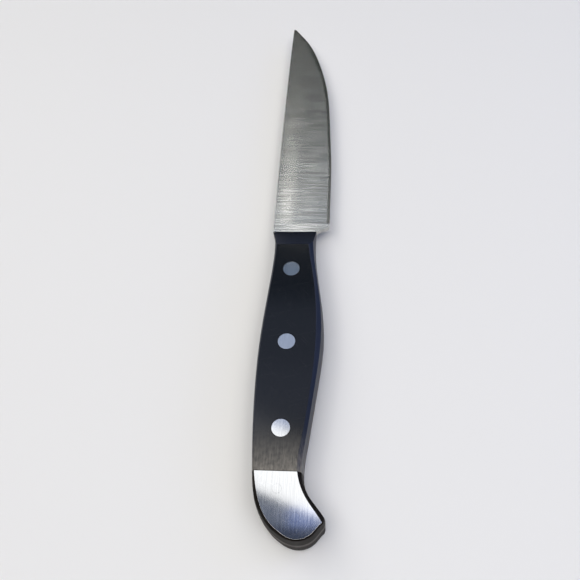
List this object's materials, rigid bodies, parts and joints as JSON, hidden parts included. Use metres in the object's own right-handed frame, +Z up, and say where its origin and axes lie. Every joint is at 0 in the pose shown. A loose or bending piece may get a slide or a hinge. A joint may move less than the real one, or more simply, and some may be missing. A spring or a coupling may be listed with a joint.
{
  "type": "paring knife",
  "caption": "Full-tang paring knife with a slender ground blade, dark riveted handle scales and a hooked steel butt cap.",
  "frame": {"origin": "on the surface the knife rests on, below the axis of the middle rivet, near the balance point", "axes": "+X towards the cutting edge, +Y towards the tip, +Z up through the thickness of the handle"},
  "size_m": [0.0206, 0.1993, 0.011],
  "materials": {
    "blade_steel": "fine brushed across the blade",
    "scale_black": "black resin-filled wood, rubbed to a dull sheen",
    "cap_steel": "polished with fine handling scratches",
    "rivet_steel": "ground flush and polished",
    "pin_steel": "ground flush with the cap"
  },
  "bodies": {
    "root": {"blade_and_tang": "blade_steel", "upper_scale": "scale_black", "lower_scale": "scale_black", "upper_cap": "cap_steel", "lower_cap": "cap_steel", "front_rivet_socket": "rivet_steel", "front_rivet_post": "rivet_steel", "middle_rivet_socket": "rivet_steel", "middle_rivet_post": "rivet_steel", "rear_rivet_socket": "rivet_steel", "rear_rivet_post": "rivet_steel", "front_cap_pin": "pin_steel", "rear_cap_pin": "pin_steel"}
  },
  "joints": []
}
